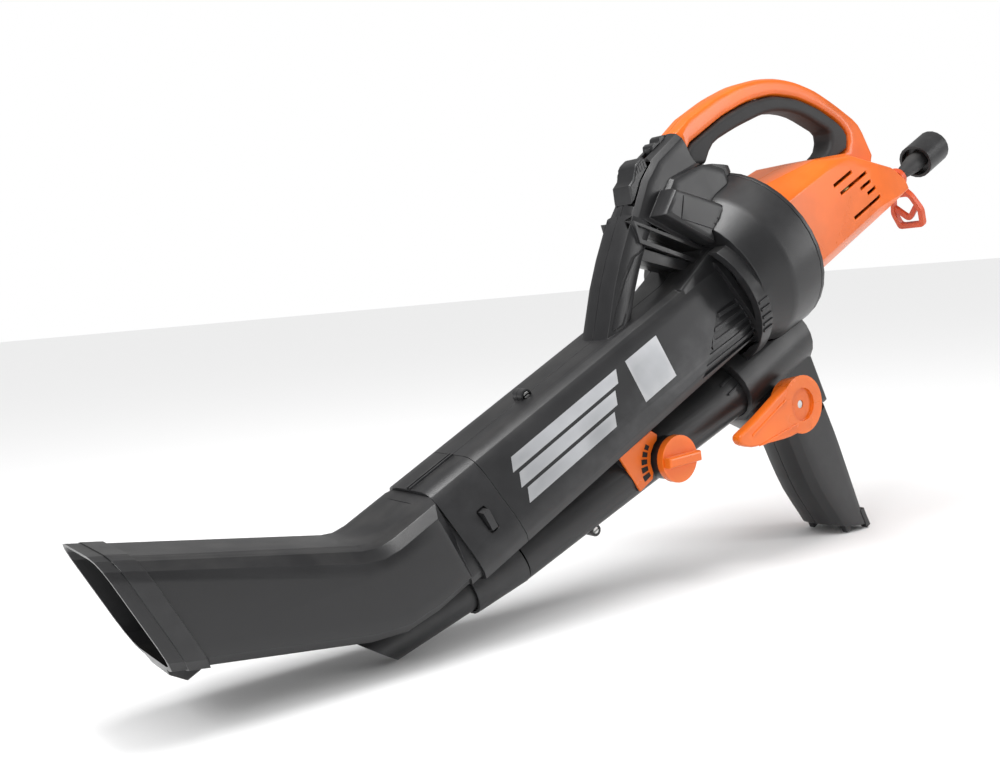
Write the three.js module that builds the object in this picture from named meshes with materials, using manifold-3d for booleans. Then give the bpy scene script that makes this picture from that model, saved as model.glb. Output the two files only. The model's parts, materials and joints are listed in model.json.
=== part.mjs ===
// Corded garden leaf blower, vacuum and mulcher, built as an assembly of separate pieces.
// Millimetres. The machine is drawn in its tube frame (x along the main tube, towards the motor,
// z square to the tube, y across) and then tipped so that it stands on the floor at z = 0.
import * as THREE from "three";
import { mergeVertices } from "three/addons/utils/BufferGeometryUtils.js";
import Module from "manifold-3d";

const wasm = await Module();
wasm.setup();

// Driving dimensions
const TUBE_TILT = 26.5; // slope of the main tube when the machine stands on the floor, degrees
const AXIS_RISE = 148.16; // distance of the tube axis from the origin, square to the tube
const CENTRE_SHIFT = -78.2; // puts the origin under the middle of the machine
const WALL = 3; // housing wall
const GAP = 0.3; // clearance between neighbouring pieces
const MOUTH_X = -335; // plane of the nozzle mouth
const COUPLER_FRONT = -94;
const COUPLER_REAR = -43;
const TUBE_REAR = 297; // rear flange of the main tube
const FAN_Z = 22; // height of the motor axis over the tube axis
const MOTOR_HALF = 53; // half width of the motor housing
const HANDLE_HALF = 14; // half thickness of the handle
const DUCT_HALF = 30; // half thickness of the bag duct
const LEVER_X = 300; // mode lever pivot
const LEVER_Z = -120;
const FLAP_TIP = 362; // free edge of the diverter flap
const BUTTON_TRAVEL = 3.5; // press of the release button
const DIAL_X = 143; // speed dial pivot
const DIAL_Z = -78;

// Materials
const black = new THREE.MeshStandardMaterial({ color: 0x232323, roughness: 0.48, metalness: 0 });
const orange = new THREE.MeshStandardMaterial({ color: 0xf06018, roughness: 0.4, metalness: 0 });
const rubber = new THREE.MeshStandardMaterial({ color: 0x1a1a1a, roughness: 0.8, metalness: 0 });
const steel = new THREE.MeshStandardMaterial({ color: 0xb4b4b0, roughness: 0.3, metalness: 1 });
const copper = new THREE.MeshStandardMaterial({ color: 0xb06a3a, roughness: 0.35, metalness: 1 });
const brass = new THREE.MeshStandardMaterial({ color: 0xc9a24a, roughness: 0.35, metalness: 1 });
const green = new THREE.MeshStandardMaterial({ color: 0x1f6b3a, roughness: 0.6, metalness: 0 });

const machine = new THREE.Group();

// Turns a closed geometry into a solid that can be joined and cut.
function solid(geometry) {
  geometry.deleteAttribute("normal");
  geometry.deleteAttribute("uv");
  const merged = mergeVertices(geometry, 1e-3);
  const faces = [];
  for (let i = 0; i < merged.index.count; i += 3) {
    const [a, b, c] = [0, 1, 2].map((k) => merged.index.getX(i + k));
    if (a !== b && b !== c && c !== a) faces.push(a, b, c);
  }
  return new wasm.Manifold(new wasm.Mesh({
    numProp: 3,
    vertProperties: new Float32Array(merged.attributes.position.array),
    triVerts: new Uint32Array(faces),
  }));
}

function place(name, body, material) {
  const mesh = body.getMesh();
  const geometry = new THREE.BufferGeometry();
  geometry.setAttribute("position", new THREE.BufferAttribute(mesh.vertProperties, 3));
  geometry.setIndex(new THREE.BufferAttribute(mesh.triVerts, 1));
  geometry.computeVertexNormals();
  const part = new THREE.Mesh(geometry, material);
  part.name = name;
  machine.add(part);
}

// A closed outline; a third number on a corner rounds it off by that length along both sides.
function outline(corners) {
  const shape = new THREE.Shape();
  corners.forEach(([u, v, round = 0], i) => {
    const corner = new THREE.Vector2(u, v);
    const towards = ([a, b]) => {
      const edge = new THREE.Vector2(a, b).sub(corner);
      return edge.setLength(Math.min(round, 0.45 * edge.length())).add(corner);
    };
    const start = towards(corners.at(i - 1));
    const end = towards(corners[(i + 1) % corners.length]);
    if (i === 0) shape.moveTo(start.x, start.y);
    else shape.lineTo(start.x, start.y);
    if (round > 0) shape.quadraticCurveTo(u, v, end.x, end.y);
  });
  shape.closePath();
  return shape;
}

function extrude(shape, depth, { bevel = 0, grow = 0, segments = 2, curve = 2 } = {}) {
  return new THREE.ExtrudeGeometry(shape, {
    depth: depth - 2 * bevel,
    bevelEnabled: bevel > 0 || grow !== 0,
    bevelSize: bevel,
    bevelThickness: bevel,
    bevelOffset: grow - bevel,
    bevelSegments: segments,
    curveSegments: curve,
  }).translate(0, 0, bevel);
}

// A side outline in (x, z) made solid between two values of y; bevel rounds its long edges.
function slab(corners, y0, y1, options = {}) {
  const shape = corners instanceof THREE.Shape ? corners : outline(corners);
  return solid(extrude(shape, y1 - y0, options).rotateX(Math.PI / 2).translate(0, y1, 0));
}

// A plan outline in (x, y) made solid between two heights.
function plan(corners, z0, z1, grow = 0) {
  const bevel = grow === 0 ? 0 : 0.01;
  return solid(extrude(outline(corners), z1 - z0, { bevel, grow }).translate(0, 0, z0));
}

// A section in (y, z) made solid between two values of x.
function bar(corners, x0, x1, options = {}) {
  const shape = corners instanceof THREE.Shape ? corners : outline(corners);
  const turn = new THREE.Matrix4().makeBasis(
    new THREE.Vector3(0, 1, 0), new THREE.Vector3(0, 0, 1), new THREE.Vector3(1, 0, 0));
  return solid(extrude(shape, x1 - x0, options).applyMatrix4(turn).translate(x0, 0, 0));
}

// A body of revolution about a line along x at height z; the profile lists (x, radius).
function turned(profile, z = 0, sides = 32, slope = 0) {
  const points = profile.map(([x, r]) => new THREE.Vector2(r, x));
  if (THREE.ShapeUtils.area(points) < 0) points.reverse();
  const geometry = new THREE.LatheGeometry(points, sides).rotateZ(-Math.PI / 2);
  return solid(geometry.rotateY(slope).translate(0, 0, z));
}

function box(x0, x1, y0, y1, z0, z1) {
  const geometry = new THREE.BoxGeometry(x1 - x0, y1 - y0, z1 - z0);
  return solid(geometry.translate((x0 + x1) / 2, (y0 + y1) / 2, (z0 + z1) / 2));
}

// A round pin across the machine.
function pin(x, z, y0, y1, radius, sides = 16, tip = radius) {
  const geometry = new THREE.CylinderGeometry(tip, radius, y1 - y0, sides);
  return solid(geometry.translate(x, (y0 + y1) / 2, z));
}

const leftHalf = (body) => body.intersect(box(-500, 800, -200, -GAP / 2, -500, 400));
const rightHalf = (body) => body.intersect(box(-500, 800, GAP / 2, 200, -500, 400));

// Arch shaped section shared by the nozzle spigot, the coupler and the main tube.
function tubeSection(inset = 0) {
  const w = 53 - inset;
  const top = 55 - inset;
  const low = -34 + inset;
  const shoulder = 36 - 0.7 * inset;
  return outline([
    [-w + 1, low, 12], [w - 1, low, 12], [w, -12, 8], [shoulder + 4, top - 5, 10], [30, top - 0.5, 8],
    [-26, top - 0.5, 8], [-shoulder, top - 10, 10], [-w, -12, 8],
  ]);
}

// ---------------------------------------------------------------- nozzles and coupler
// The blow tube drops away from the main tube towards the elbow.
const BLOW_SLOPE = 0.07;
const TIP_SLOPE = 0.15;
const BLOW_Z = -63.5; // height of its axis over x = 0

const tapered = (x0, r0, x1, r1) => [[x0, 0], [x1, 0], [x1, r1], [x0, r0], [x0, 0]];

// Groove under the vacuum nozzle that the blow nozzle lies in.
const tunnel = (grow) => turned(tapered(-260, 18 + grow, COUPLER_REAR, 22 + grow), -65.6, 24, TIP_SLOPE);
const collarSolid = (grow) => turned(
  tapered(COUPLER_FRONT - 5 - grow, 24.8 + grow, COUPLER_REAR + 2, 27 + grow), -63.5, 24, 0.13);
const collarTunnel = collarSolid(GAP);

const nozzleOutline = [
  [MOUTH_X - 30, 200], [-158, 51, 14], [COUPLER_FRONT - GAP, 51], [COUPLER_FRONT - GAP, -31],
  [-175, -31, 34], [MOUTH_X - 30, 96],
];

function nozzleBody(grow, half) {
  return slab(nozzleOutline, -half - grow, half + grow, { bevel: 22 + grow, grow, segments: 3 });
}

function vacuumNozzle() {
  const mouth = box(MOUTH_X, COUPLER_FRONT - GAP, -90, 90, -60, 240);
  const band = nozzleBody(2, 53).intersect(box(-325.5, -312, -90, 90, 0, 240));
  const lip = nozzleBody(1, 53).intersect(box(MOUTH_X, -325, -90, 90, 0, 240));
  const keel = bar([[-28, 78], [28, 78], [4, 48, 3], [-4, 48, 3]], MOUTH_X, -304)
    .intersect(slab([[MOUTH_X, 80], [MOUTH_X, 68], [-324, 47], [-313, 47], [-304, 64], [-304, 80]], -40, 40));
  const spigot = bar(tubeSection(3.4), COUPLER_FRONT - 12, COUPLER_REAR - 2);
  const bore = bar(tubeSection(3.4 + WALL), COUPLER_FRONT - 40, COUPLER_REAR);
  return nozzleBody(0, 53).intersect(mouth).add(band).add(lip).add(keel)
    .add(spigot).subtract(nozzleBody(-WALL, 53).subtract(tunnel(3.4))).subtract(bore)
    .add(box(-68.5, -62, -51.5, -41, -0.5, 17.5)).subtract(tunnel(GAP)).subtract(collarTunnel);
}

function blowNozzle() {
  const tube = tunnel(0).subtract(tunnel(-2.5)).subtract(box(COUPLER_REAR - 6, 0, -90, 90, -120, 0));
  return tube.subtract(slab([[-234, 30], [-161, -91], [-300, -91]], -60, 60));
}

function coupler() {
  const ring = bar(tubeSection(0), COUPLER_FRONT, COUPLER_REAR);
  const collar = collarSolid(0).subtract(box(COUPLER_REAR, 0, -90, 90, -120, 0));
  const beads = [1.2, -3.2].map((y) => box(COUPLER_FRONT, COUPLER_REAR, y, y + 2, 50, 56.5));
  const slot = slab([[-70.5, -2.5, 2], [-60.5, -2.5, 2], [-60.5, 19.5, 2], [-70.5, 19.5, 2]], -60, -40);
  return ring.add(collar).add(beads[0]).add(beads[1])
    .subtract(bar(tubeSection(3.1), COUPLER_FRONT - 1, COUPLER_REAR + 1))
    .subtract(turned(tapered(-120, 22.3, 0, 22.6), -65.6, 24, TIP_SLOPE)).subtract(slot);
}

place("vacuum_nozzle", vacuumNozzle(), black);
place("blow_nozzle", blowNozzle(), black);
place("nozzle_coupler", coupler(), black);

// ---------------------------------------------------------------- tube halves and front column
const TUBE_FRONT = COUPLER_REAR + GAP;
const BOSS_X = 47;

function blowTube(grow = 0) {
  return turned(tapered(TUBE_FRONT + 2, 24.5 + grow, 268, 31 + grow), BLOW_Z, 24, BLOW_SLOPE);
}

// The column is a rounded section swept along its own gentle curve.
const columnPath = new THREE.CatmullRomCurve3(
  [[132, 22], [160, 50], [188, 81], [216, 106], [249, 131],
    [273, 150]].map(([x, z]) => new THREE.Vector3(x, 0, z)));
const headSeam = [[232, 139.2], [268, 96], [340, 96], [340, 230], [150, 230]];

function column(inset = 0) {
  const w = 21 - inset;
  const t = 15.5 - inset;
  const section = outline([[-w, -t, 10], [w, -t, 10], [w, t, 12], [-w, t, 12]]);
  return solid(new THREE.ExtrudeGeometry(section, { steps: 7, extrudePath: columnPath, curveSegments: 2 }))
    .subtract(slab(headSeam, -60, 60));
}
const tieOutline = [[228, 134], [TUBE_REAR, 67], [284, 54], [224, 112]];
const tieBarOutline = [[220, 112], [279, 60], [268, 56], [216, 100]];

const scaleOutline = [[138, -43], [143, -51], [116, -84], [97, -85], [92, -42]];

const RIB_END = 287;
const RIB_HEIGHT = 1.8;
const ribStarts = [[257, 9.5], [243, 1.5], [230, -7], [217, -14.5], [207, -21.5]];

// The field round the stiffening ribs, as a slab across the tube with the ribs left out.
function ribField() {
  let field = slab([[203, -26], [RIB_END, -30], [RIB_END, 13], [259, 15]], -80, 80);
  for (const [x, z] of ribStarts) {
    const end = z - 4;
    field = field.subtract(slab([[x, z], [RIB_END + 2, end], [RIB_END + 2, end + 3],
      [x + 3, z + 3]], -90, 90));
  }
  return field;
}

function tubeShell() {
  const outer = bar(tubeSection(0), TUBE_FRONT, TUBE_REAR);
  const flange = bar(tubeSection(-5), TUBE_REAR - 8, TUBE_REAR);
  const ramp = slab([[236, 40], [238, 53], [TUBE_REAR, 66], [TUBE_REAR, 40]], -34, 34, { bevel: 4 });
  const tie = slab(tieOutline, -24, 24).subtract(slab(tieOutline, -30, 30, { grow: -4.5, bevel: 0.01 }));
  const tieBar = slab(tieBarOutline, -18, 18);
  const web = box(TUBE_FRONT, 262, -7, 7, -60, -30);
  const boss = pin(BOSS_X, 57, -7, 7, 6).add(box(BOSS_X - 6, BOSS_X + 6, -6, 6, 48, 57));
  const lowBoss = pin(BOSS_X, -96, -7, 7, 6).add(box(BOSS_X - 6, BOSS_X + 6, -6, 6, -96, -84));
  const pod = pin(DIAL_X, DIAL_Z, -37, -10, 21, 28).add(slab(scaleOutline, -25.7, -8));
  let body = outer.add(flange).add(ramp).add(column()).add(tie).add(tieBar).add(web).add(boss)
    .add(lowBoss).add(blowTube()).add(pod);
  body = body.subtract(column(WALL).subtract(slab(headSeam, -60, 60).translate([-4, 0, -5])))
    .subtract(bar(tubeSection(WALL), TUBE_FRONT - 1, TUBE_REAR + 1))
    .subtract(blowTube(-2.5))
    .subtract(turned(tapered(TUBE_FRONT - 5, 22, TUBE_FRONT + 12, 22), BLOW_Z, 24, BLOW_SLOPE))
    .subtract(turned(tapered(250, 28.2, 280, 28.2), BLOW_Z, 24, BLOW_SLOPE))
    .subtract(pin(DIAL_X, DIAL_Z, -60, -30, 13));
  // wells of the two screws
  for (const z of [57, -96]) {
    body = body.subtract(pin(BOSS_X, z, -8, -4.5, 3.6)).subtract(pin(BOSS_X, z, -5, 5.5, 1.9));
  }
  // grooves between the stiffening ribs on both rear flanks
  body = body.subtract(ribField().subtract(bar(tubeSection(RIB_HEIGHT), 190, RIB_END + 1)));
  return body;
}

const tubes = tubeShell();
place("main_tube_left", leftHalf(tubes), black);
place("main_tube_right", rightHalf(tubes), black);

function screw(x, z, y0, y1, head, shank) {
  return pin(x, z, y0, y0 + 2.6, head, 16).subtract(box(x - head, x + head, y0 - 1, y0 + 1, z - 0.5, z + 0.5))
    .add(pin(x, z, y0 + 2.5, y1, shank, 10));
}
place("tube_screw_upper", screw(BOSS_X, 57, -7.2, 5, 3.2, 1.6), steel);
place("tube_screw_lower", screw(BOSS_X, -96, -7.2, 5, 3.2, 1.6), steel);

// ---------------------------------------------------------------- speed control
place("speed_scale_plate", slab(scaleOutline, -29.2, -26, { bevel: 0.6, segments: 1 })
  .subtract(blowTube(GAP)).subtract(pin(DIAL_X, DIAL_Z, -60, 0, 23.4)), orange);

const dialRidge = slab([[-21, -5], [21, -5], [21, 5], [-21, 5]], -54, -44, { bevel: 2.5 })
  .rotate([0, 24, 0]).translate([DIAL_X, 0, DIAL_Z]);
place("speed_dial", pin(DIAL_X, DIAL_Z, -45, -37.3, 22.8, 32).add(dialRidge)
  .subtract(pin(DIAL_X, DIAL_Z, -43, -37, 3.1)), orange);

place("speed_control_unit", pin(DIAL_X, DIAL_Z, -35.5, -30.3, 11)
  .add(pin(DIAL_X, DIAL_Z, -36.5, -35, 5)), green);
place("speed_dial_shaft", pin(DIAL_X, DIAL_Z, -42.8, -36.8, 2.8), steel);

// ---------------------------------------------------------------- fan housing
const TURN = 36; // facets of the large round parts

function ring(profile, sides = TURN) {
  return turned([...profile, profile[0]], FAN_Z, sides);
}

// Outside of the fan housing, grown by the clearance when it is used as a cutter.
function drumSolid(grow = 0) {
  return ring([[296 - grow, 0], [378 + grow, 0], [378 + grow, 91 + grow], [366, 91 + grow],
    [332, 88.5 + grow], [324, 86 + grow], [312, 80 + grow], [296 - grow, 75 + grow]]);
}

function fanFront() {
  const shellBody = ring([[297.6, 46], [297.6, 75.5], [312, 80], [325, 86.5], [332, 88.6],
    [368, 91], [368, 88], [332, 85.5], [312, 76], [301, 72.5], [301, 46]]);
  const lip = turned([[284, 66], [284, 74], [300, 75], [300, 66], [284, 66]], 11, TURN);
  const outlet = box(316, 362, -34, 34, -90, -55);
  return shellBody.add(lip.intersect(box(284, 300, -90, 90, -90, 66)))
    .subtract(outlet).subtract(tieCut);
}

function fanBack() {
  return ring([[368.3, 11.3], [376, 11.3], [376, 84], [373, 91], [368.3, 91]]);
}

const tieCut = slab(tieOutline, -25, 25, { grow: GAP, bevel: 0.01 })
  .add(bar(tubeSection(-5 - GAP), TUBE_REAR - 60, TUBE_REAR + GAP))
  .add(slab([[236, 40], [238, 53], [TUBE_REAR, 67], [TUBE_REAR + GAP, 67], [TUBE_REAR + GAP, 40]], -35, 35));

place("fan_housing_front", fanFront(), black);
place("fan_housing_back", fanBack(), black);

// ---------------------------------------------------------------- head shells
const headOutline = [[176, 88], [238, 139.4], [264, 160], [288, 171], [330, 177.5], [380, 184],
  [380, 60], [270, 60]];
const handleSeam = [[329.7, 200], [329.7, 152], [333.7, 138.3], [352, 131], [384, 113], [409, 95], [409, 60],
  [440, 60], [440, 200]];
const neckOutline = [[258, 126], [292, 146], [334, 142], [350, 131], [362, 121], [362, 60], [300, 60]];
const flankOutline = [[250, 126], [276, 141], [320, 103], [350, 74], [330, 50], [300, 64]];
const headCut = [[231.8, 139.6], [268.3, 96.2], [297, 66], [297, 20], [150, 20], [150, 139.6]];
const buttonOutline = [[244, 144], [250, 160], [258, 163], [268, 174, 3], [281, 176, 3], [281, 163],
  [262, 149]];

function headShell() {
  const outer = slab(headOutline, -21, 21, { bevel: 14, segments: 3 })
    .add(slab(neckOutline, -29, 29, { bevel: 10 })).add(slab(flankOutline, -43, 43, { bevel: 6 }));
  const hollow = slab(headOutline, -21 + WALL, 21 - WALL, { bevel: 11, grow: -WALL })
    .add(slab(neckOutline, -29 + WALL, 29 - WALL, { bevel: 7, grow: -WALL }))
    .add(slab(flankOutline, -43 + WALL, 43 - WALL, { bevel: 3, grow: -WALL }));
  const buttonWell = slab(buttonOutline, -13.5, 13.5, { grow: 0.5, bevel: 0.01 });
  let wellPath = buttonWell;
  for (let depth = 0.4; depth < BUTTON_TRAVEL + 0.5; depth += 0.4) {
    wellPath = wellPath.add(buttonWell.translate([0.6 * depth, 0, -0.8 * depth]));
  }
  return outer.subtract(hollow).subtract(drumSolid(GAP))
    .subtract(ring([[360, 0], [420, 0], [420, 91.4], [360, 91.4]]))
    .subtract(wellPath).subtract(tieCut).subtract(slab(handleSeam, -60, 60)).subtract(slab(headCut, -60, 60))
    .subtract(box(288, 326, -4.5, 4.5, 160, 180));
}

const head = headShell();
place("head_shell_left", leftHalf(head), black);
place("head_shell_right", rightHalf(head), black);

place("release_button", slab(buttonOutline, -13, 13, { bevel: 1.5, segments: 1 }), black);
const thumbOutline = [[299.5, 173.4], [301.5, 178, 1], [306, 178.9, 1], [309, 176.6, 1], [311.5, 177, 1],
  [314, 180.2, 1], [318.5, 180.8, 1], [321, 176.7]];
place("power_switch", box(299, 315, -4, 4, 165, 176).add(box(296, 318, -8, 8, 165, 168))
  .add(slab(thumbOutline, -7, 7)), black);
place("switch_module", box(290, 322, -9, 9, 146, 161), black);

// ---------------------------------------------------------------- motor housing with the handle spine
const motorOutline = [
  [340, 86], [403, 81], [470, 73], [517, 57], [582, 8], [608, -20], [613, -52], [340, -44],
];
const spineOutline = [
  [330, 176.8], [355, 182], [398, 183, 10], [437, 179.5, 10], [467, 172, 10], [494, 161, 10],
  [518, 147, 10], [544, 125, 10], [567, 98, 10], [594, 62, 12], [598, 20], [580, 0], [520, 30], [530, 46],
  [559, 46], [569, 59, 8], [562, 77, 10], [538, 106, 10], [512, 129, 10], [479, 148, 10], [441, 158, 10],
  [401, 161, 10], [345, 158], [330.3, 151],
];
const gripOutline = [
  [334, 152.2], [345, 157.7], [401, 160.7, 10], [441, 157.7, 10], [479, 147.7, 10],
  [512, 128.7, 10], [538, 105.7, 10], [561.7, 76.7, 10], [568.7, 59, 8], [558.8, 46.4], [530, 46.4],
    [508, 42],
  [512, 57], [533, 59, 8], [544, 74, 8], [511, 111, 12], [487, 127, 12], [460, 137, 12],
  [413, 143, 12], [372, 145, 12], [353, 131.6], [334, 138.6],
];

const motorPlan = [[350, -60], [480, -60, 20], [560, -48, 20], [640, -24], [640, 24], [560, 48, 20],
  [480, 60, 20], [350, 60]];

// The motor housing is the side outline, the plan and a round barrel, all together.
function motorForm(grow = 0) {
  return slab(motorOutline, -MOTOR_HALF - grow, MOTOR_HALF + grow, { bevel: 14 + grow, grow })
    .intersect(plan(motorPlan, -60, 100, grow))
    .intersect(ring([[330, 0], [330, 66 + grow], [470, 65 + grow], [570, 64 + grow], [640, 62 + grow],
    [640, 0]]));
}

// Each cooling slot runs from its first x to its second, at the height given last.
const coolingSlots = [[469, 503, 41], [475, 525, 29], [507, 527, 18], [515, 532, 8], [482, 535, -4]];

function motorHousing() {
  const outer = motorForm().subtract(box(330, 376.3, -70, 70, -70, 100));
  const hollow = motorForm(-WALL);
  const spine = slab(spineOutline, -HANDLE_HALF, HANDLE_HALF, { bevel: 7.5 });
  const bearingBridge = box(508, 522, -45, 45, -38, 54).intersect(motorForm(-1));
  const stop = box(404, 408, -49, 49, -40, 80).intersect(motorForm(-1));
  let body = outer.subtract(hollow).add(spine).add(bearingBridge).add(stop);
  body = body.subtract(ring([[402, 0], [410, 0], [410, 38], [402, 38]], 32))
    .subtract(ring([[506, 0], [520, 0], [520, 8.3], [506, 8.3]], 24))
    .subtract(turned([[600, 0], [618, 0], [618, 7.5], [600, 7.5], [600, 0]], -29, 20));
  // cooling slots on both flanks
  for (const [start, end, middle] of coolingSlots) {
    const slot = box(start, end, -60, -45.5, middle - 1.8, middle + 1.8);
    body = body.subtract(slot).subtract(slot.mirror([0, 1, 0]));
  }
  return body;
}

const motorShell = motorHousing();
place("motor_housing_left", leftHalf(motorShell), orange);
place("motor_housing_right", rightHalf(motorShell), orange);
place("handle_grip", slab(gripOutline, -HANDLE_HALF, HANDLE_HALF, { bevel: 5 })
  .subtract(motorForm(GAP)), rubber);

// ---------------------------------------------------------------- motor and impeller
function impeller() {
  const plate = ring([[358.8, 6.3], [361, 6.3], [361, 74], [358.8, 74]], 24);
  const hub = ring([[330, 4], [361, 4], [361, 14], [345, 14], [330, 9]], 24);
  let wheel = plate.add(hub);
  for (let i = 0; i < 8; i += 1) {
    const blade = box(326, 359, 8, 72, -0.9, 0.9).translate([0, 0, 4]).rotate([i * 45, 0, 0]);
    wheel = wheel.add(blade.translate([0, 0, FAN_Z]));
  }
  return wheel.subtract(ring([[320, 0], [365, 0], [365, 4.3], [320, 4.3]], 24));
}
place("impeller", impeller(), steel);
place("motor_shaft", ring([[326, 0], [519, 0], [519, 4], [326, 4]], 20), steel);

const around = (x0, x1, r0, r1, sides = 16) => ring([[x0, r0], [x1, r0], [x1, r1], [x0, r1]], sides);
place("front_bearing", around(368.5, 375.5, 4.3, 11), steel);
place("rear_bearing", around(510, 517, 4.3, 8), steel);
place("cooling_fan", around(388, 392, 4.3, 33), orange);
place("armature", around(418, 466, 4.3, 25), copper);
place("commutator", around(476, 492, 4.3, 12), brass);
place("field_stator", around(408.3, 472, 25.6, 37.7, 32), steel);
for (const [name, side] of [["brush_holder_left", -1], ["brush_holder_right", 1]]) {
  place(name, box(480, 507.7, -14, 14, FAN_Z - 4, FAN_Z + 4).translate([0, side * 26.6, 0]), brass);
}

// ---------------------------------------------------------------- elbow and mode lever
const ELBOW_Z = -79;
const elbowLower = [[264, -80], [262, -118, 8], [298, -165.7], [374, -165.7], [377, -80]];

function elbow() {
  const outer = turned([[262, 0], [380, 0], [380, 30], [372, 39], [262, 39], [262, 0]], ELBOW_Z, 24)
    .add(slab(elbowLower, -30, 30, { bevel: 12 }));
  const hollow = turned([[272, 0], [377, 0], [377, 28], [370, 36], [272, 36], [272, 0]], ELBOW_Z, 24)
    .add(slab([[267, -80], [265, -117, 6], [300, -163], [300, -180], [371, -180],
    [374, -80]], -27, 27, { bevel: 9 }));
  return outer.subtract(hollow)
    .subtract(turned([[255, 0], [276, 0], [276, 32], [255, 32], [255, 0]], BLOW_Z, 24, BLOW_SLOPE))
    .subtract(drumSolid(GAP)).subtract(box(376, 400, -90, 90, -68, 0))
    .subtract(tubeShellCut).subtract(lipCut)
    .add(pin(LEVER_X, LEVER_Z, -40, -28, 14)).subtract(pin(LEVER_X, LEVER_Z, -41, 40, 5.3));
}
const lipCut = turned([[283.7, 0], [283.7, 74.3], [300.3, 75.3], [300.3, 0], [283.7, 0]], 11, TURN);
const tubeShellCut = bar(tubeSection(-5 - GAP), TUBE_REAR - 60, TUBE_REAR + GAP);
place("elbow_housing", elbow(), black);

function lever() {
  const hub = pin(LEVER_X, LEVER_Z, -62, -41, 30, 32, 26);
  const arm = slab([[300, -146], [270, -140, 10], [217, -116, 6], [204, -104, 6], [206, -95, 4],
    [240, -95, 10],
    [276, -92, 10], [300, -92]], -62, -50, { bevel: 3 });
  return hub.add(arm).subtract(pin(LEVER_X, LEVER_Z, -64, -59, 17))
    .subtract(pin(LEVER_X, LEVER_Z, -60, -40, 4.3));
}
place("mode_lever", lever(), orange);
place("flap_shaft", pin(LEVER_X, LEVER_Z, -58, 33.5, 4, 16), steel);
place("diverter_flap", slab([[LEVER_X - 6, -124], [LEVER_X + 6, -124], [FLAP_TIP, -122.2], [FLAP_TIP, -119.8],
  [LEVER_X + 4, -115], [LEVER_X - 6, -116]], -19, 19).subtract(pin(LEVER_X, LEVER_Z, -40, 40, 4.3)), black);

// ---------------------------------------------------------------- bag duct
const ductOutline = [[302, -110], [299, -200, 20], [300, -240, 20], [308, -280, 20], [318, -348], [362, -348],
  [364, -300], [369, -240, 20], [372, -200, 20], [373, -110]];
const ductEnd = [[250, -90], [420, -90], [420, -165.7], [250, -165.7]];
const ductMouth = [[270, -262], [310, -290], [334, -307], [384, -338], [420, -358], [420, -400], [270, -400]];

function bagDuct() {
  const body = slab(ductOutline, -DUCT_HALF, DUCT_HALF, { bevel: 20, segments: 3 });
  const hollow = slab(ductOutline, -DUCT_HALF + WALL, DUCT_HALF - WALL, { bevel: 17, grow: -WALL });
  const pegs = box(323, 331, -26, -19, -309, -280).add(box(323, 331, 19, 26, -309, -280))
    .add(box(352, 359, -28, -20, -323.5, -300)).add(box(352, 359, 20, 28, -323.5, -300));
  const through = slab([[324, -300], [362, -300], [362, -360], [324, -360]], -16, 16);
  return body.subtract(hollow).subtract(through).subtract(slab(ductMouth, -60, 60))
    .subtract(slab(ductEnd, -60, 60)).add(pegs);
}
const duct = bagDuct();
place("bag_duct_left", leftHalf(duct), black);
place("bag_duct_right", rightHalf(duct), black);

// ---------------------------------------------------------------- power lead and cord hook
const CORD_Z = -29;
const HOOK_X = 634;
const hookHalf = [[-7, -42], [-14, -52, 4], [-21, -72, 4], [-17, -93, 4]];
const hookWindow = [[-9, -52, 3], [9, -52, 3], [15.5, -71, 3], [12.5, -87, 3], [-12.5, -87, 3],
  [-15.5, -71, 3]];
const cleat = [[-17, -63], [-13, -63], [0, -77, 2], [13, -63], [17, -63], [17, -68], [3, -83, 3],
  [-3, -83, 3], [-17, -68]];

// A flat loop threaded on the lead, with a V shaped cleat that grips an extension cord.
function cordHook() {
  const mirrored = [...hookHalf].reverse().map(([y, z, round]) => [-y, z, round]);
  const plate = bar([...hookHalf, ...mirrored], HOOK_X, HOOK_X + 7);
  const disc = turned(tapered(HOOK_X, 12, HOOK_X + 7, 12), CORD_Z, 20);
  const hole = turned(tapered(HOOK_X - 1, 5.4, HOOK_X + 8, 5.4), CORD_Z, 16);
  return plate.add(disc).add(box(HOOK_X, HOOK_X + 7, -7, 7, -45, CORD_Z - 8))
    .subtract(bar(hookWindow, HOOK_X - 1, HOOK_X + 8)).add(bar(cleat, HOOK_X + 1, HOOK_X + 6)).subtract(hole);
}
place("cord_hook", cordHook(), orange);

const alongCord = (profile, sides = 16) => turned([...profile, profile[0]], CORD_Z, sides);
place("cord_relief", alongCord([[604, 3.8], [633, 3.8], [633, 4.8], [626, 5], [623, 7.4], [619, 8.2],
  [615, 7.2], [604, 7.2]]), rubber);
place("power_lead", alongCord([[608, 0], [676, 0], [676, 3.4], [608, 3.4]], 12), rubber);
place("plug_boot", alongCord([[648, 3.8], [690, 3.8], [690, 11], [676, 11], [648, 6.5]]), rubber);
place("plug_body", alongCord([[690.3, 0], [714, 0], [714, 17], [722, 17], [722, 20.5], [681, 20.5],
  [681, 17], [690.3, 17]], 20), black);

const group = new THREE.Group();
group.add(machine);
const tilt = THREE.MathUtils.degToRad(TUBE_TILT);
machine.rotation.y = -tilt;
group.position.set(-AXIS_RISE * Math.sin(tilt) + CENTRE_SHIFT, 0, AXIS_RISE * Math.cos(tilt));
export default group;
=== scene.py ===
# %% [markdown]
# # A garden blower and vacuum, finished in Blender
# The engineering model comes in as a fixed frame: every solid already has its size, its
# place and the body it moves with. This lesson gives those solids their real surfaces:
# rounded moulding edges, grained nylon, glossy orange shells, soft rubber and printed bars.

# %% Load the fixed frame
import bpy
import json
import math
from mathutils import Matrix, Vector

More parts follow.
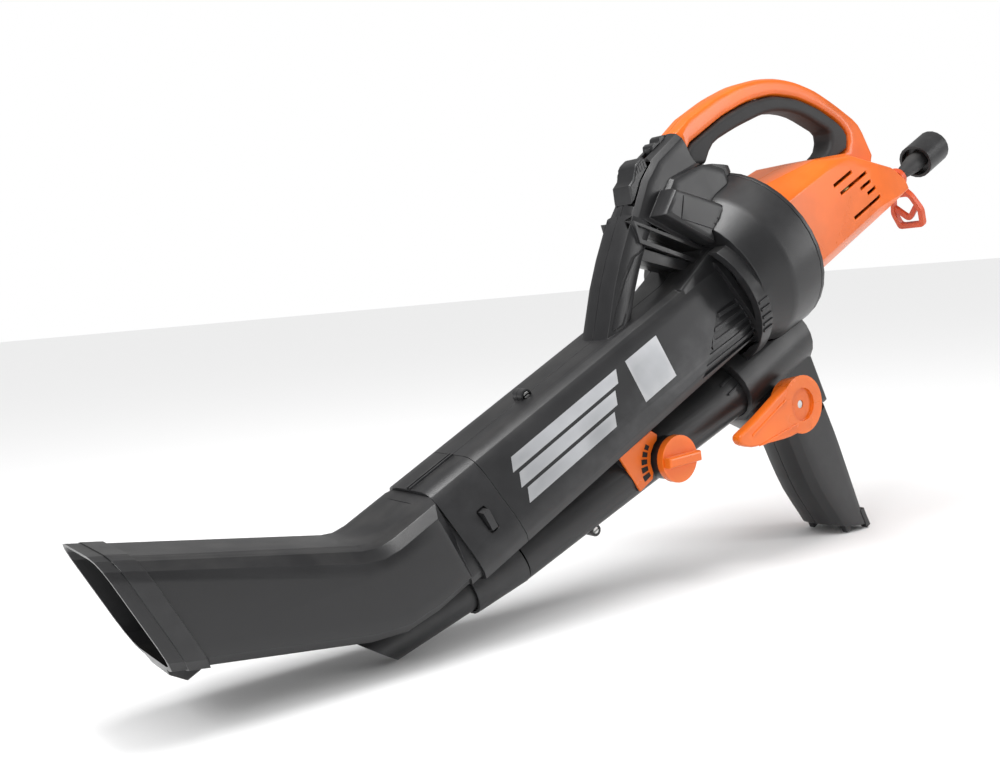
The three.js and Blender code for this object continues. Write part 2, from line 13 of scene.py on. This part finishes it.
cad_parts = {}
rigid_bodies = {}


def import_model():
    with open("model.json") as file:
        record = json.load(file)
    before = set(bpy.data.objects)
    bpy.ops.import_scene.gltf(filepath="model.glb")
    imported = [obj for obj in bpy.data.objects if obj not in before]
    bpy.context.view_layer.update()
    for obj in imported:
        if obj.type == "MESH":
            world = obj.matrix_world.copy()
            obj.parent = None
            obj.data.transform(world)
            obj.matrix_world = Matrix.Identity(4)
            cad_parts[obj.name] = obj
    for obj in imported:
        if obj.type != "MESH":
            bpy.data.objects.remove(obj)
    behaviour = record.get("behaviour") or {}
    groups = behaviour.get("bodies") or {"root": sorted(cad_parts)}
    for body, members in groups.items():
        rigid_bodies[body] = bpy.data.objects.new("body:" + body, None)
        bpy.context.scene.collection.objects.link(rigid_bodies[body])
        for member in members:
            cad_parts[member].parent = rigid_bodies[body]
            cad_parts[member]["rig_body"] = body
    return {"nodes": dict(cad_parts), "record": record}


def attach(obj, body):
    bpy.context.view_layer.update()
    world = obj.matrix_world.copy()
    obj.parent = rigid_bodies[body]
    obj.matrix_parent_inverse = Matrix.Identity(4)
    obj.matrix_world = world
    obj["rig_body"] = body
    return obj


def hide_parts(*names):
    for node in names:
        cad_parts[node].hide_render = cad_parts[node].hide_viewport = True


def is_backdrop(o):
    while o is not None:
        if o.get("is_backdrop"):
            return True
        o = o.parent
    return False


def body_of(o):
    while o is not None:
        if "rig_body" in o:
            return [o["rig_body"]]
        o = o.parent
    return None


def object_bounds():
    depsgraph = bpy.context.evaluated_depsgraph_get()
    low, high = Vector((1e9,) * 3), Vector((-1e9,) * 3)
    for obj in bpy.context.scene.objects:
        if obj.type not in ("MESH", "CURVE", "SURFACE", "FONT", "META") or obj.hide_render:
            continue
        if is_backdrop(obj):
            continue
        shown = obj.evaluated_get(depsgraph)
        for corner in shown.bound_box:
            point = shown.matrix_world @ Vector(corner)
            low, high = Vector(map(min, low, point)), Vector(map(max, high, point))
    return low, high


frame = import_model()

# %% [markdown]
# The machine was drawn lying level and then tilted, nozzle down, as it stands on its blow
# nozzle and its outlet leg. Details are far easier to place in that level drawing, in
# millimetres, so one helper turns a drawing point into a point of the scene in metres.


def whole_box():
    bpy.context.view_layer.update()
    return [[round(value, 5) for value in corner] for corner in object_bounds()]


cad_box = whole_box()
print("CAD nodes:", len(frame["nodes"]), "box:", cad_box)

TILT = math.radians(26.5)
AXIS_RISE = 148.16
CENTRE_SHIFT = -78.2
MM = 0.001


def spot(x, y, z):
    up = z + AXIS_RISE
    across = x * math.cos(TILT) - up * math.sin(TILT) + CENTRE_SHIFT
    height = x * math.sin(TILT) + up * math.cos(TILT)
    return Vector((across * MM, y * MM, height * MM))


print("middle of the fan:", spot(330, 0, 22))

# %% [markdown]
# The camera stands low and to the left of the nozzle and looks along the machine, with a
# moderately long lens. It is made first, so that every later step can be judged from it.

# %% Camera
LENS = 39.6
SENSOR = 36
CAMERA_PLACE = (-0.7051, -0.8000, 0.3007)
CAMERA_AXES = (
    (0.814990, 0.120535, -0.566801),
    (-0.573576, 0.028588, -0.818653),
    (-0.082473, 0.992297, 0.092435),
)

camera_data = bpy.data.cameras.new("camera")
camera_data.lens = LENS
camera_data.sensor_width = SENSOR
camera = bpy.data.objects.new("camera", camera_data)
camera.matrix_world = Matrix.Translation(CAMERA_PLACE) @ Matrix(CAMERA_AXES).to_4x4()
camera_data.clip_start = 0.01
bpy.context.scene.collection.objects.link(camera)
bpy.context.scene.camera = camera
print("camera lens", LENS)

# %% [markdown]
# A product stands on a seamless pale sweep under big soft lamps. A broad lamp above makes
# the long highlights on the tube, one at the left lights the nozzle, and one behind draws
# a rim along the handle. The world adds an even white fill.

# %% Floor, lamps and world
FLOOR_SIZE = 60
PALE = (0.9, 0.9, 0.9, 1)


def lamp(name, place, aim, size, power):
    data = bpy.data.lights.new(name, "AREA")
    data.shape = "RECTANGLE"
    data.size, data.size_y = size
    data.energy = power
    made = bpy.data.objects.new(name, data)
    made.location = place
    made.rotation_mode = "QUATERNION"
    made.rotation_quaternion = (Vector(aim) - Vector(place)).to_track_quat("-Z", "Y")
    bpy.context.scene.collection.objects.link(made)
    print("lamp", name, power)


def deselect():
    bpy.ops.object.select_all(action="DESELECT")


deselect()
bpy.ops.mesh.primitive_plane_add(size=FLOOR_SIZE, location=(0, 0, -0.0005))
floor = bpy.context.active_object
floor.name = "floor"
floor_paint = bpy.data.materials.new("pale_floor")
floor_paint.use_nodes = True
floor_shader = floor_paint.node_tree.nodes["Principled BSDF"]
floor_shader.inputs["Base Color"].default_value = PALE
floor_shader.inputs["Roughness"].default_value = 0.75
floor.data.materials.append(floor_paint)
floor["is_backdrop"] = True

lamp("over_lamp", (-0.5, -0.1, 1.7), (0, 0, 0.2), (1.0, 0.3), 15)
lamp("left_lamp", (-1.9, -0.9, 0.9), (0, 0, 0.25), (0.4, 1.2), 12)
lamp("side_lamp", (1.5, -1.5, 0.8), (0.2, 0, 0.3), (0.4, 1.2), 12)

daylight = bpy.data.lights.new("daylight", "SUN")
daylight.energy = 2.2
daylight.angle = math.radians(55)
daylight_rig = bpy.data.objects.new("daylight", daylight)
daylight_rig.rotation_euler = (math.radians(12), math.radians(-22), 0)
bpy.context.scene.collection.objects.link(daylight_rig)

ROOM_LIGHT = 0.36
SEEN_LIGHT = 1.0
world = bpy.data.worlds.new("white_room")
world.use_nodes = True
sky = world.node_tree
sweep = sky.nodes["Background"]
sweep.inputs["Color"].default_value = (1, 1, 1, 1)
seen = sky.nodes.new("ShaderNodeLightPath")
level = sky.nodes.new("ShaderNodeMapRange")
level.inputs["To Min"].default_value = ROOM_LIGHT
level.inputs["To Max"].default_value = SEEN_LIGHT
sky.links.new(seen.outputs["Is Camera Ray"], level.inputs["Value"])
sky.links.new(level.outputs["Result"], sweep.inputs["Strength"])
bpy.context.scene.world = world
bpy.context.scene.view_settings.view_transform = "Standard"

# %% [markdown]
# Three effects turn up on nearly every surface, so each is a node group. Spark-eroded moulds
# leave a fine pebbled grain. Handling polishes and lightens the sharpest edges. Dust lies
# where a surface faces up. Each group only puts out masks and heights.

# %% Shared effects as node groups


def group(name, inputs, outputs):
    tree = bpy.data.node_groups.new(name, "ShaderNodeTree")
    for label, value in inputs.items():
        socket = tree.interface.new_socket(label, in_out="INPUT", socket_type="NodeSocketFloat")
        socket.default_value = value
    for label in outputs:
        tree.interface.new_socket(label, in_out="OUTPUT", socket_type="NodeSocketFloat")
    into = tree.nodes.new("NodeGroupInput")
    out = tree.nodes.new("NodeGroupOutput")
    return tree, into, out


def put(tree, kind, sockets=None, **settings):
    node = tree.nodes.new(kind)
    for key, value in settings.items():
        setattr(node, key, value)
    for key, value in (sockets or {}).items():
        socket = node.inputs[key]
        if isinstance(value, bpy.types.NodeSocket):
            tree.links.new(value, socket)
        else:
            socket.default_value = value
    return node


def scaled(tree, value, low, high, to_low, to_high):
    return put(
        tree,
        "ShaderNodeMapRange",
        {0: value, 1: low, 2: high, 3: to_low, 4: to_high},
    ).outputs[0]


def times(tree, a, b, operation="MULTIPLY"):
    return put(tree, "ShaderNodeMath", {0: a, 1: b}, operation=operation).outputs[0]


def grain_group():
    tree, into, out = group("mould_grain", {"Size": 1600.0}, ["Height", "Mottle"])
    place = put(tree, "ShaderNodeTexCoord").outputs["Object"]
    pebble = put(
        tree, "ShaderNodeTexVoronoi", {"Vector": place, "Scale": into.outputs["Size"]}
    )
    fine = put(
        tree, "ShaderNodeTexNoise", {"Vector": place, "Scale": 3200.0, "Detail": 2.0}
    )
    wide = put(tree, "ShaderNodeTexNoise", {"Vector": place, "Scale": 14.0, "Detail": 4.0})
    both = times(tree, pebble.outputs["Distance"], fine.outputs["Fac"], "ADD")
    tree.links.new(both, out.inputs["Height"])
    tree.links.new(wide.outputs["Fac"], out.inputs["Mottle"])
    return tree


def wear_group():
    tree, into, out = group("edge_wear", {"Amount": 0.5}, ["Edge"])
    shape = put(tree, "ShaderNodeNewGeometry")
    place = put(tree, "ShaderNodeTexCoord").outputs["Object"]
    patch = put(tree, "ShaderNodeTexNoise", {"Vector": place, "Scale": 60.0, "Detail": 3.0})
    edge = scaled(tree, shape.outputs["Pointiness"], 0.52, 0.6, 0.0, 1.0)
    broken = times(tree, edge, scaled(tree, patch.outputs["Fac"], 0.35, 0.7, 0.25, 1.0))
    tree.links.new(times(tree, broken, into.outputs["Amount"]), out.inputs["Edge"])
    return tree


def dust_group():
    tree, into, out = group("light_dust", {"Amount": 0.3}, ["Dust"])
    shape = put(tree, "ShaderNodeNewGeometry")
    place = put(tree, "ShaderNodeTexCoord").outputs["Object"]
    axes = put(tree, "ShaderNodeSeparateXYZ", {0: shape.outputs["Normal"]})
    patch = put(tree, "ShaderNodeTexNoise", {"Vector": place, "Scale": 35.0, "Detail": 5.0})
    facing = scaled(tree, axes.outputs["Z"], 0.3, 1.0, 0.0, 1.0)
    broken = times(tree, facing, scaled(tree, patch.outputs["Fac"], 0.4, 0.75, 0.1, 1.0))
    tree.links.new(times(tree, broken, into.outputs["Amount"]), out.inputs["Dust"])
    return tree


GRAIN = grain_group()
WEAR = wear_group()
DUST = dust_group()
print("groups:", [g.name for g in bpy.data.node_groups])

# %% [markdown]
# One recipe makes every moulded finish. The base colour drifts a little, as pigment does,
# lightens along worn edges and greys under dust. Roughness follows the same masks, and the
# grain feeds a bump, so nothing is a single flat colour.

# %% A finish from the shared effects


def colour_mix(tree, a, b, factor):
    node = put(tree, "ShaderNodeMix", data_type="RGBA")
    for index, value in ((0, factor), (6, a), (7, b)):
        if isinstance(value, bpy.types.NodeSocket):
            tree.links.new(value, node.inputs[index])
        else:
            node.inputs[index].default_value = value
    return node.outputs[2]


def finish(
    name, colour, edge_colour, rough, grain=0.12, size=1600.0, wear=0.4, dust=0.12, **fixed
):
    material = bpy.data.materials.new(name)
    material.use_nodes = True
    tree = material.node_tree
    shader = tree.nodes["Principled BSDF"]
    grains = put(tree, "ShaderNodeGroup", node_tree=GRAIN)
    grains.inputs["Size"].default_value = size
    worn = put(tree, "ShaderNodeGroup", node_tree=WEAR)
    worn.inputs["Amount"].default_value = wear
    dusty = put(tree, "ShaderNodeGroup", node_tree=DUST)
    dusty.inputs["Amount"].default_value = dust
    drift = scaled(tree, grains.outputs["Mottle"], 0.3, 0.7, 0.0, 1.0)
    darker = tuple(0.72 * c for c in colour[:3]) + (1,)
    base = colour_mix(tree, darker, colour, drift)
    base = colour_mix(tree, base, edge_colour, worn.outputs["Edge"])
    base = colour_mix(tree, base, (0.42, 0.40, 0.37, 1), dusty.outputs["Dust"])
    tree.links.new(base, shader.inputs["Base Color"])
    gloss = scaled(tree, grains.outputs["Mottle"], 0.3, 0.7, rough - 0.05, rough + 0.05)
    gloss = times(tree, gloss, times(tree, dusty.outputs["Dust"], 0.3), "ADD")
    tree.links.new(gloss, shader.inputs["Roughness"])
    bump = put(tree, "ShaderNodeBump", {"Strength": grain, "Distance": 0.0002})
    tree.links.new(grains.outputs["Height"], bump.inputs["Height"])
    tree.links.new(bump.outputs["Normal"], shader.inputs["Normal"])
    for key, value in fixed.items():
        shader.inputs[key.replace("_", " ")].default_value = value
    print("finish", name)
    return material


charcoal = finish(
    "charcoal_nylon",
    (0.015, 0.015, 0.016, 1),
    (0.075, 0.075, 0.078, 1),
    0.34,
    dust=0.05,
    Specular_IOR_Level=0.42,
)
orange = finish(
    "orange_shell", (0.84, 0.150, 0.008, 1), (0.95, 0.30, 0.07, 1), 0.3, grain=0.05, dust=0.02
)
deep_orange = finish(
    "deep_orange_hook", (0.62, 0.062, 0.010, 1), (0.92, 0.27, 0.09, 1), 0.36, grain=0.08, dust=0.04
)
rubber = finish(
    "soft_black_rubber", (0.016, 0.016, 0.017, 1), (0.05, 0.05, 0.05, 1), 0.62, grain=0.3, size=900.0
)
glossy_black = finish(
    "glossy_black_rubber", (0.012, 0.012, 0.013, 1), (0.05, 0.05, 0.05, 1), 0.2, grain=0.02
)
# Painted shade: a near-black sheet laid where a gap or an opening would only be dark with shadow.
painted_shade = finish("painted_recess_shade", (0.006, 0.006, 0.007, 1), (0.01, 0.01, 0.01, 1), 0.7, dust=0.0)
steel = finish(
    "machined_steel", (0.55, 0.55, 0.54, 1), (0.8, 0.8, 0.8, 1), 0.3, grain=0.05, Metallic=1.0
)
copper = finish(
    "copper_winding", (0.62, 0.24, 0.09, 1), (0.85, 0.5, 0.3, 1), 0.35, size=700.0, Metallic=1.0
)
brass = finish("plain_brass", (0.68, 0.48, 0.17, 1), (0.9, 0.75, 0.4, 1), 0.3, Metallic=1.0)
board = finish("green_board", (0.02, 0.16, 0.05, 1), (0.1, 0.3, 0.12, 1), 0.45)
silver = finish(
    "silver_print", (0.52, 0.53, 0.55, 1), (0.7, 0.7, 0.7, 1), 0.34, grain=0.02, Metallic=0.75
)

# %% [markdown]
# The solids arrive as loose triangles with knife-sharp edges. A real moulding has a small
# radius on every corner, and that radius is what catches the light. So each node that shows
# is copied, welded, its flat triangles are dissolved into whole faces, its sharp edges are
# rounded by a bevel, and its normals are weighted so that the flats stay flat.

# %% Round the edges of a copy of each solid
MATERIAL_OF_SLOT = {
    "black_plastic": charcoal,
    "orange_plastic": orange,
    "soft_rubber": rubber,
    "steel": steel,
    "copper_winding": copper,
    "brass": brass,
    "circuit_board": board,
}
SLOT_OF_NODE = {row["node"]: row["material_slot"] for row in frame["record"]["subparts"]}
WELD = 0.00002
FLAT = math.radians(0.8)


def edit(piece):
    deselect()
    bpy.context.view_layer.objects.active = piece
    piece.select_set(True)
    bpy.ops.object.mode_set(mode="EDIT")
    bpy.ops.mesh.select_all(action="SELECT")


def done():
    bpy.ops.object.mode_set(mode="OBJECT")


def apply(piece, kind, **settings):
    modifier = piece.modifiers.new(kind.lower(), kind)
    for key, value in settings.items():
        setattr(modifier, key, value)
    deselect()
    bpy.context.view_layer.objects.active = piece
    piece.select_set(True)
    bpy.ops.object.modifier_apply(modifier=modifier.name)


def soften(piece, radius, sharp=28, segments=2, smooth=38):
    apply(
        piece,
        "BEVEL",
        width=radius * MM,
        segments=segments,
        limit_method="ANGLE",
        angle_limit=math.radians(sharp),
        use_clamp_overlap=False,
    )
    bpy.ops.object.shade_smooth_by_angle(angle=math.radians(smooth))
    apply(piece, "WEIGHTED_NORMAL", keep_sharp=True, weight=60)


def skin(node, radius=0.45, material=None, **how):
    source = frame["nodes"][node]
    mesh = source.data.copy()
    piece = bpy.data.objects.new(node + "_skin", mesh)
    bpy.context.scene.collection.objects.link(piece)
    edit(piece)
    bpy.ops.mesh.customdata_custom_splitnormals_clear()
    bpy.ops.mesh.remove_doubles(threshold=WELD)
    bpy.ops.mesh.dissolve_limited(angle_limit=FLAT)
    done()
    mesh.materials.clear()
    mesh.materials.append(material or MATERIAL_OF_SLOT[SLOT_OF_NODE[node]])
    if radius:
        soften(piece, radius, **how)
    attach(piece, body_of(source)[0])
    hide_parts(node)
    print("skin", node, len(piece.data.polygons), "faces")
    return piece


EDGE_RADIUS = {
    "handle_grip": 1.6,
    "motor_housing_left": 0.9,
    "motor_housing_right": 0.9,
    "fan_housing_front": 0.8,
    "fan_housing_back": 0.8,
    "head_shell_left": 0.8,
    "head_shell_right": 0.8,
    "bag_duct_left": 0.7,
    "bag_duct_right": 0.7,
    "elbow_housing": 0.7,
}
MATERIAL_OF_NODE = {
    "cord_hook": deep_orange,
    "cord_relief": glossy_black,
}
INSIDE = [
    "armature",
    "brush_holder_left",
    "brush_holder_right",
    "commutator",
    "cooling_fan",
    "field_stator",
    "front_bearing",
    "rear_bearing",
    "motor_shaft",
    "speed_control_unit",
    "speed_dial_shaft",
    "switch_module",
    "flap_shaft",
]
skins = {}
for node in frame["nodes"]:
    if node in INSIDE:
        frame["nodes"][node].data.materials.clear()
        frame["nodes"][node].data.materials.append(MATERIAL_OF_SLOT[SLOT_OF_NODE[node]])
        continue
    skins[node] = skin(node, EDGE_RADIUS.get(node, 0.45), MATERIAL_OF_NODE.get(node))

# %% [markdown]
# Ribs, printed bars and inlays all lie on a curved moulding. Each starts as a flat grid in
# the level drawing. Its rows are laid between two edges, the grid is dropped on its host
# with a shrinkwrap, given a thickness, and its own edges are rounded.

# %% Lay a strip on a moulding
FAR_OUT = 100  # millimetres from the centre plane, clear of the widest moulding
BEYOND = 0.0925  # metres: a point still this far out has missed its host
SINK = 0.6  # how far a strip reaches into its host
GRID_COLUMNS = 14
GRID_ROWS = 4


def along_line(points, share):
    step = share * (len(points) - 1)
    index = min(int(step), len(points) - 2)
    part = step - index
    (x0, z0), (x1, z1) = points[index], points[index + 1]
    return x0 + (x1 - x0) * part, z0 + (z1 - z0) * part


def belongs(piece, body, material):
    piece.data.materials.clear()
    piece.data.materials.append(material)
    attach(piece, body)


def strip(name, lower, upper, host, rise, material, side=-1, body="machine", edge=0.25):
    deselect()
    bpy.ops.mesh.primitive_grid_add(
        x_subdivisions=GRID_COLUMNS, y_subdivisions=GRID_ROWS, size=1
    )
    piece = bpy.context.active_object
    piece.name = name
    for vertex in piece.data.vertices:
        share, height = vertex.co.x + 0.5, vertex.co.y + 0.5
        low, high = along_line(lower, share), along_line(upper, share)
        x = low[0] + (high[0] - low[0]) * height
        z = low[1] + (high[1] - low[1]) * height
        vertex.co = spot(x, side * FAR_OUT, z)
    if side > 0:
        edit(piece)
        bpy.ops.mesh.flip_normals()
        done()
    apply(
        piece,
        "SHRINKWRAP",
        target=host,
        wrap_method="PROJECT",
        use_project_y=True,
        use_project_z=False,
        use_positive_direction=side < 0,
        use_negative_direction=side > 0,
    )
    edit(piece)
    bpy.ops.mesh.select_all(action="DESELECT")
    done()
    missed = 0
    for vertex in piece.data.vertices:
        vertex.select = abs(vertex.co.y) > BEYOND
        missed += vertex.select
    bpy.ops.object.mode_set(mode="EDIT")
    bpy.ops.mesh.delete(type="VERT")
    done()
    apply(
        piece,
        "SOLIDIFY",
        thickness=(rise + SINK) * MM,
        offset=2 * rise / (rise + SINK) - 1,
    )
    if edge:
        soften(piece, min(edge, 0.4 * rise), sharp=50)
    belongs(piece, body, material)
    print(name, "missed", missed)
    return piece


SIDES = ((-1, "left"), (1, "right"))

# %% [markdown]
# The broad print on the tube is plain: three slanting silver bars and a wide end block. The
# film is a tenth of a millimetre thick, so it has a real edge but throws no shadow.

# %% Silver bars on the tube
BAR_LEAN = 7
BARS = ((-21, 118, 24, 35), (-23, 104, 10, 21), (-25, 90, -4, 7))
BLOCK = (131, 176, -5, 35)
for side, word in SIDES:
    tube = skins["main_tube_" + word]
    for index, (start, end, low, high) in enumerate(BARS + (BLOCK,)):
        strip(
            f"print_bar_{word}_{index}",
            [(start, low), (end, low)],
            [(start + BAR_LEAN, high), (end + BAR_LEAN, high)],
            tube,
            0.12,
            silver,
            side,
            edge=0,
        )

# %% [markdown]
# The tube's own stiffening ribs end at its rear flange. They run on over the lip of the fan
# housing as five short bars, in line with the ones on the tube.

# %% Ribs on the lip of the fan housing
RIB_HEIGHTS = (6.5, -1.5, -10, -17.5, -24.5)
LIP_START = 286
LIP_END = 299
for side, word in SIDES:
    for index, z in enumerate(RIB_HEIGHTS):
        strip(
            f"lip_rib_{word}_{index}",
            [(LIP_START, z - 1), (LIP_END, z - 1.6)],
            [(LIP_START, z + 2), (LIP_END, z + 1.4)],
            skins["fan_housing_front"],
            1.4,
            charcoal,
            side,
        )

# %% [markdown]
# The column that carries the handle has a long inset panel on each flank, and the head
# has a broad flat pad where a hand steadies the machine. Under each column panel lies a
# slightly larger near-black strip, painted shade for the shadow gap around the inset.

# %% Inset panels of the column and the head
for side, word in SIDES:
    # Painted shadow gap: this thin dark strip, wider than the panel, stands for the shade around the
    # inset.
    strip(
        f"column_gap_shade_{word}",
        [(168, 56), (195, 76), (223, 96), (234, 105)],
        [(150, 56), (164, 72), (189, 93), (210, 105)],
        skins["main_tube_" + word],
        0.15,
        painted_shade,
        side,
        edge=0,
    )
    strip(
        f"column_inlay_{word}",
        [(166, 58), (192.5, 77.5), (220, 97), (229, 103)],
        [(154, 58), (167, 71), (192, 91), (213, 103)],
        skins["main_tube_" + word],
        1.1,
        charcoal,
        side,
        edge=0.4,
    )
    strip(
        f"head_pad_{word}",
        [(266, 113), (303, 80)],
        [(280, 131), (317, 99)],
        skins["head_shell_" + word],
        1.0,
        charcoal,
        side,
        edge=0.4,
    )

# %% [markdown]
# A thumb finds the release button by five ribs on each flank. They ride on the button.

# %% Ribs on the release button
for side, word in SIDES:
    for index in range(5):
        x = 262 + 3.4 * index
        strip(
            f"button_rib_{word}_{index}",
            [(x, 165), (x + 1.5, 165)],
            [(x + 1, 172), (x + 2.5, 172)],
            skins["release_button"],
            0.4,
            charcoal,
            side,
            body="latch_button",
        )

# %% [markdown]
# The dial turns over a plate with a row of windows that widen as the speed rises. The dark
# in each window is painted shade: a thin near-black sheet laid on the plate.

# %% Windows on the scale plate and ridges on the lever
DIAL_CENTRE = (143, -78)
WINDOW_FIRST = 122
WINDOW_STEP = 13
WINDOW_WIDTH = 9
for index in range(5):
    start = math.radians(WINDOW_FIRST + WINDOW_STEP * index)
    end = start + math.radians(WINDOW_WIDTH)
    inner, outer = 28, 33 + index
    arc = [
        (DIAL_CENTRE[0] + r * math.cos(a), DIAL_CENTRE[1] + r * math.sin(a))
        for r in (inner, outer)
        for a in (end, start)
    ]
    # Painted shade: a near-black sheet fills each window where the opening would be dark.
    strip(
        f"scale_window_shade_{index}",
        arc[:2],
        arc[2:],
        skins["speed_scale_plate"],
        0.3,
        painted_shade,
        edge=0,
    )
for index, (low, high) in enumerate(((-101, -104), (-131, -118))):
    strip(
        f"lever_ridge_{index}",
        [(222, high - 2), (281, low - 2)],
        [(222, high), (281, low)],
        skins["mode_lever"],
        1.0,
        orange,
        body="mode_selector",
    )
for index in range(3):
    z = -52 - 10 * index
    strip(
        f"blow_tube_rib_{index}",
        [(243, z - 1), (261, z - 1)],
        [(243, z + 1), (261, z + 1)],
        skins["main_tube_left"],
        1.6,
        charcoal,
    )

# %% [markdown]
# Where the lead enters the plug its boot is a stack of prisms with gaps between, so that it
# bends without kinking. Each prism is a short six-sided bar with its edges bevelled.

# %% Prisms of the plug boot
BOOT_PRISMS = ((653, 7.6), (662, 8.8), (671, 10.0))
for index, (x, radius) in enumerate(BOOT_PRISMS):
    deselect()
    bpy.ops.mesh.primitive_cylinder_add(
        vertices=6, radius=radius * MM, depth=5.5 * MM, rotation=(0, math.pi / 2 - TILT, 0)
    )
    prism = bpy.context.active_object
    prism.name = f"boot_prism_{index}"
    prism.location = spot(x, 0, -29)
    bpy.ops.object.transform_apply(location=True, rotation=True, scale=True)
    edit(prism)
    bpy.ops.mesh.bevel(offset=1.0 * MM, segments=2, affect="EDGES")
    done()
    belongs(prism, "machine", rubber)
    print("boot prism", index, "radius", radius)

size = {"cad": cad_box, "visual": whole_box()}
print("size", size)
